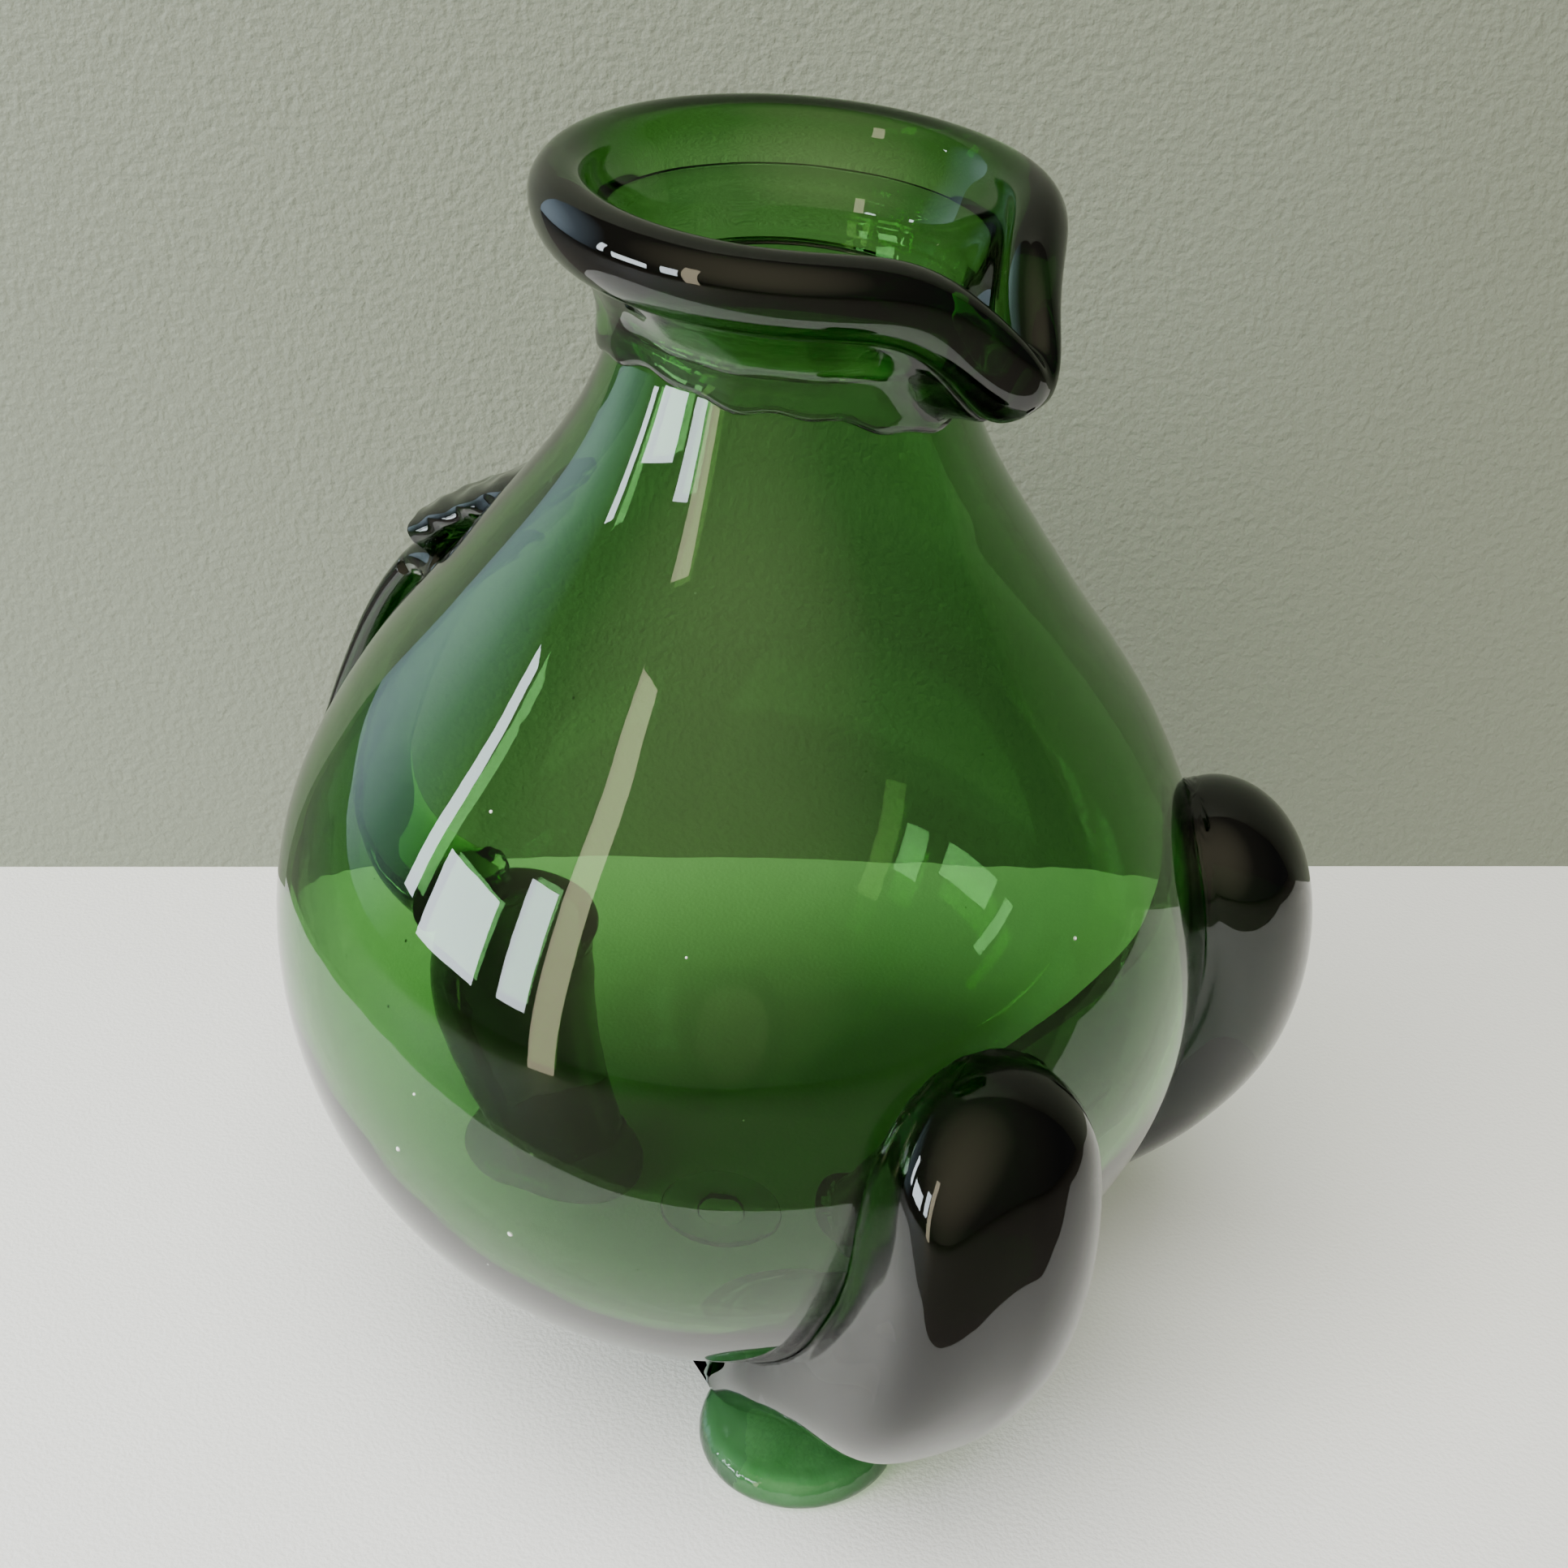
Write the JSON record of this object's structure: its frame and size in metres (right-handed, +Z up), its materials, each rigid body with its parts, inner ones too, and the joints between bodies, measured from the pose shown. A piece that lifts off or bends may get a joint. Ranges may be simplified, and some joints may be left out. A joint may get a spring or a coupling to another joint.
{
  "type": "glass jug",
  "caption": "Free-blown glass jug: round body on short applied legs with flat feet, narrow neck, thick rolled lip pinched to a spout, strap handle with a thumb leaf behind.",
  "frame": {"origin": "middle of the bounding box, on the table under the feet", "axes": "+Z up, +X towards the spout, the handle at -X. The jug's own axis leans about 5 degrees from +Z towards +X"},
  "size_m": [0.2412, 0.2, 0.2829],
  "materials": {
    "body_glass": "clear mid green blown glass, smooth and fire polished, with a few seeds",
    "thick_glass": "the same glass where it is thick: near-black green with a high gloss",
    "foot_glass": "light green glass pressed flat, with a slightly textured top"
  },
  "bodies": {
    "root": {"vessel_body": "body_glass", "lip_coil": "thick_glass", "neck_band": "body_glass", "right_front_leg": "thick_glass", "right_front_foot": "foot_glass", "left_front_leg": "thick_glass", "left_front_foot": "foot_glass", "rear_leg": "thick_glass", "rear_foot": "foot_glass", "handle_strap": "thick_glass", "thumb_leaf": "thick_glass", "pontil_scar": "body_glass"}
  },
  "joints": []
}
